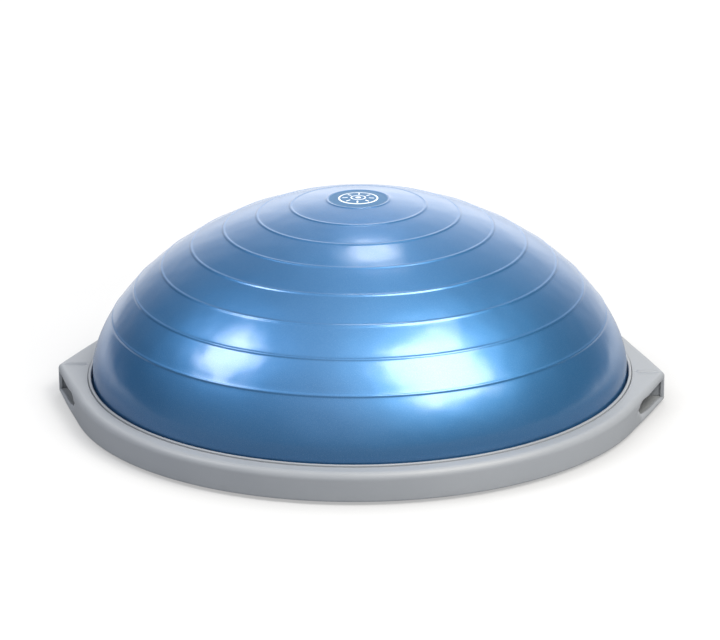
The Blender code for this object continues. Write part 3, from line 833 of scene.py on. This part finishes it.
def dress(node, mat):
    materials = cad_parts[node].data.materials
    materials.clear()
    materials.append(mat)


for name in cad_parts:
    if name.startswith("foot_"):
        dress(name, foot_rubber)
    elif name.startswith("screw_"):
        dress(name, screw_steel)
dress("base_plate", base_grey)
dress("valve_seat", valve_rubber)
dress("air_plug", plug_rubber)
dress("rim_shell", shell_grey)
dress("clamp_ring", ring_grey)
dress("dome_bladder", blue_vinyl)

# ------------------------------------------------------------- studio floor
FLOOR_NEAR, FLOOR_FAR = 0.56, 0.80  # glow near the object and away from it
FLOOR_RADII = (0.25, 0.6, 14.0)  # open in the middle, where the platform covers it
FLOOR_STEPS = 96
FLOOR_DROP = 0.0002


def floor_look():
    look = new_look("studio_floor")
    where = look.coords()
    tone = look.noise(where, scale=3.0, detail=2.0, rough=0.5)
    # a soft contact shade hugs whatever stands on the floor
    contact = look.new("ShaderNodeAmbientOcclusion", {"Distance": 0.055}, samples=12)
    shade = look.ramp(contact.outputs["AO"], span=(0.45, 0.97), to=(0.76, 1.0))
    dark, light = (0.240, 0.245, 0.255), (0.246, 0.251, 0.261)
    paper = look.mix(look.ramp(tone, span=(0.3, 0.7)), dark, light)
    # the sweep stays evenly white away from the object
    away = look.new("ShaderNodeVectorMath", {0: where}, operation="LENGTH").outputs["Value"]
    glow = look.ramp(away, span=(0.50, 1.2), to=(FLOOR_NEAR, FLOOR_FAR))
    look.principled({
        "Base Color": look.mix(shade, (0.0, 0.0, 0.0), paper),
        "Roughness": 0.9,
        "Specular IOR Level": 0.1,
        "Emission Color": (1.0, 1.0, 1.0),
        "Emission Strength": look.math("MULTIPLY", glow, shade),
    })
    # painted reflection: to glossy rays the floor in front of the object is partly black, so the
    # vinyl reflects a darker floor and less of its glare
    glossy = look.new("ShaderNodeLightPath").outputs["Is Glossy Ray"]
    black = look.new("ShaderNodeBsdfDiffuse", {"Color": (0.0, 0.0, 0.0)})
    amount = look.ramp(look.split(where)[1], span=(0.10, 0.50), to=(0.60, 0.0))
    reflection_darkened = look.mix_shader(
        look.math("MULTIPLY", glossy, amount),
        look.tree.nodes["Principled BSDF"].outputs[0],
        black.outputs[0],
    )
    # clear when seen from below
    surface = look.mix_shader(
        look.new("ShaderNodeNewGeometry").outputs["Backfacing"],
        reflection_darkened,
        look.new("ShaderNodeBsdfTransparent").outputs[0],
    )
    look.put(look.tree.nodes["Material Output"].inputs["Surface"], surface)
    return look.owner


def build_floor():
    mat = floor_look()
    bm = bmesh.new()
    turns = [2 * math.pi * k / FLOOR_STEPS for k in range(FLOOR_STEPS)]
    loops = [
        [bm.verts.new((radius * math.cos(a), radius * math.sin(a), 0.0)) for a in turns]
        for radius in FLOOR_RADII
    ]
    for inner, outer in zip(loops, loops[1:]):
        for k in range(FLOOR_STEPS):
            j = (k + 1) % FLOOR_STEPS
            bm.faces.new((inner[k], outer[k], outer[j], inner[j]))
    mesh = bpy.data.meshes.new("studio_floor")
    bm.to_mesh(mesh)
    bm.free()
    made = bpy.data.objects.new("studio_floor", mesh)
    made.location = (0.0, 0.0, -FLOOR_DROP)
    mesh.materials.append(mat)
    scene.collection.objects.link(made)
    return made


floor = build_floor()

# ------------------------------------------------------------------- lights
# Azimuth is 0 at -Y and grows towards +X; azimuth and elevation are in degrees.
LIGHT_TARGET = Vector((0.0, 0.0, 0.10))
# name, azimuth, elevation, distance, width, height, power, colour
SOFTBOXES = (
    ("key", 51, 50.5, 2.6, 1.50, 1.70, 106.0, (1.0, 0.950, 0.860)),
    ("fill_left", -76, 46, 2.6, 0.85, 0.85, 30.0, (0.98, 0.98, 1.0)),
    ("back_top", 177, 61, 2.8, 0.54, 0.42, 7.5, (1.0, 1.0, 1.0)),
    ("right_back", 112, 60, 2.8, 0.8, 0.5, 0.0, (1.0, 1.0, 1.0)),
    ("overhead", 10, 72, 2.7, 1.6, 1.3, 0.0, (1.0, 1.0, 1.0)),
)
# soft parts of the room: azimuth, elevation, tightness, level
ROOM = (
    (180, 8, 7, 1.85), (180, 36, 8, 0.35), (180, 64, 8, 0.10), (0, 88, 8, 0.80),
    (0, 52, 8, 0.94), (0, 18, 6, 0.40), (-90, 28, 6, 0.06), (90, 28, 6, 0.03),
    (-60, -2, 10, 0.40), (62, -2, 10, 0.20),
)


def direction(azimuth, elevation):
    turn, lift = math.radians(azimuth), math.radians(elevation)
    return (
        math.sin(turn) * math.cos(lift), -math.cos(turn) * math.cos(lift), math.sin(lift)
    )


def softbox(name, azimuth, elevation, distance, width, height, power, colour):
    """An area light aimed at the target from the given direction."""
    place = LIGHT_TARGET + distance * Vector(direction(azimuth, elevation))
    data = bpy.data.lights.new(name, "AREA")
    data.shape = "RECTANGLE"
    data.size, data.size_y = width, height
    data.energy = power
    data.color = colour
    made = bpy.data.objects.new(name, data)
    made.location = place
    made.rotation_euler = (LIGHT_TARGET - place).to_track_quat("-Z", "Y").to_euler()
    scene.collection.objects.link(made)


def build_world():
    """A white sweep behind, softer and dimmer parts of the room elsewhere."""
    scene.world = bpy.data.worlds.new("studio")
    sky = Nodes(scene.world)
    sky.tree.nodes.clear()
    toward = sky.new("ShaderNodeTexCoord").outputs["Generated"]
    level = None
    for azimuth, elevation, tight, amount in ROOM:
        dot = sky.new(
            "ShaderNodeVectorMath",
            {0: toward, 1: direction(azimuth, elevation)},
            operation="DOT_PRODUCT",
        ).outputs["Value"]
        falloff = sky.math("MULTIPLY", sky.math("SUBTRACT", dot, 1.0), float(tight))
        part = sky.math("MULTIPLY", sky.math("EXPONENT", falloff), amount)
        level = part if level is None else sky.math("ADD", level, part)
    # light from underneath only reaches the underside through the opening in the floor
    z = sky.split(toward)[2]
    under = sky.ramp(z, span=(-0.45, -0.20), to=(0.55, 0.0), kind="SMOOTHSTEP")
    level = sky.math("ADD", level, under)
    # the camera itself sees plain white
    seen = sky.new("ShaderNodeLightPath").outputs["Is Camera Ray"]
    strength = sky.new("ShaderNodeMix", {0: seen, 2: level, 3: 1.0}, data_type="FLOAT")
    back = sky.new(
        "ShaderNodeBackground", {"Strength": strength.outputs[0], "Color": (1.0, 1.0, 1.0)}
    )
    sky.new("ShaderNodeOutputWorld", {0: back.outputs[0]})


for box in SOFTBOXES:
    softbox(*box)
build_world()
scene.view_settings.view_transform = "Standard"
scene.view_settings.look = "None"

# ------------------------------------------------------------------- camera
TURN = math.radians(3.7329)  # of the whole camera round Z
PITCH = math.radians(18.9866)  # downwards
YAW = math.radians(0.0118)
ROLL = math.radians(-0.5110)
CAMERA_PLACE = (0.0, -3.390752, 1.255696)  # before the turn
SENSOR_MM, LENS_MM = 36.0, 165.786


def build_camera():
    forward = Vector((
        math.sin(YAW) * math.cos(PITCH), math.cos(YAW) * math.cos(PITCH), -math.sin(PITCH)
    ))
    right = Vector((math.cos(YAW), -math.sin(YAW), 0.0))
    up = right.cross(forward)
    across = right * math.cos(ROLL) + up * math.sin(ROLL)
    upward = -right * math.sin(ROLL) + up * math.cos(ROLL)
    axes = Matrix((across, upward, -forward)).transposed().to_4x4()
    data = bpy.data.cameras.new("camera")
    data.sensor_width = SENSOR_MM
    data.lens = LENS_MM
    data.clip_end = 60.0
    camera = bpy.data.objects.new("camera", data)
    spin = Matrix.Rotation(TURN, 4, "Z")
    camera.matrix_world = spin @ Matrix.Translation(CAMERA_PLACE) @ axes
    scene.collection.objects.link(camera)
    scene.camera = camera


build_camera()
